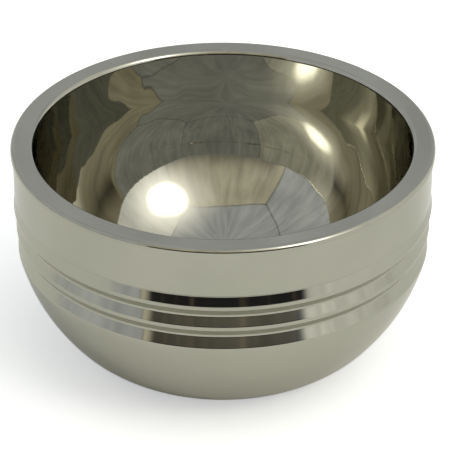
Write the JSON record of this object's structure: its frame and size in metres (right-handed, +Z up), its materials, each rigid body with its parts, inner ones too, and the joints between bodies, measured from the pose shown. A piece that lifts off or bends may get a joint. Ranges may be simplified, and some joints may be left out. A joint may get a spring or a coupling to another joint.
{
  "type": "shaving bowl",
  "caption": "Double-walled polished stainless steel shaving bowl with a flat rim, a deep round lathering dish inside and three raised rings round a rounded body.",
  "frame": {"origin": "centre of the flat face the bowl rests on", "axes": "+Z up along the bowl's axis; the bowl is round, so +X and +Y are free"},
  "size_m": [0.102, 0.102, 0.056],
  "materials": {
    "inner_steel": "mirror polished, with faint turning lines",
    "outer_steel": "mirror polished",
    "seal": "matt cured sealing compound"
  },
  "bodies": {
    "root": {"inner_bowl": "inner_steel", "outer_shell": "outer_steel", "rim_seal": "seal"}
  },
  "joints": []
}
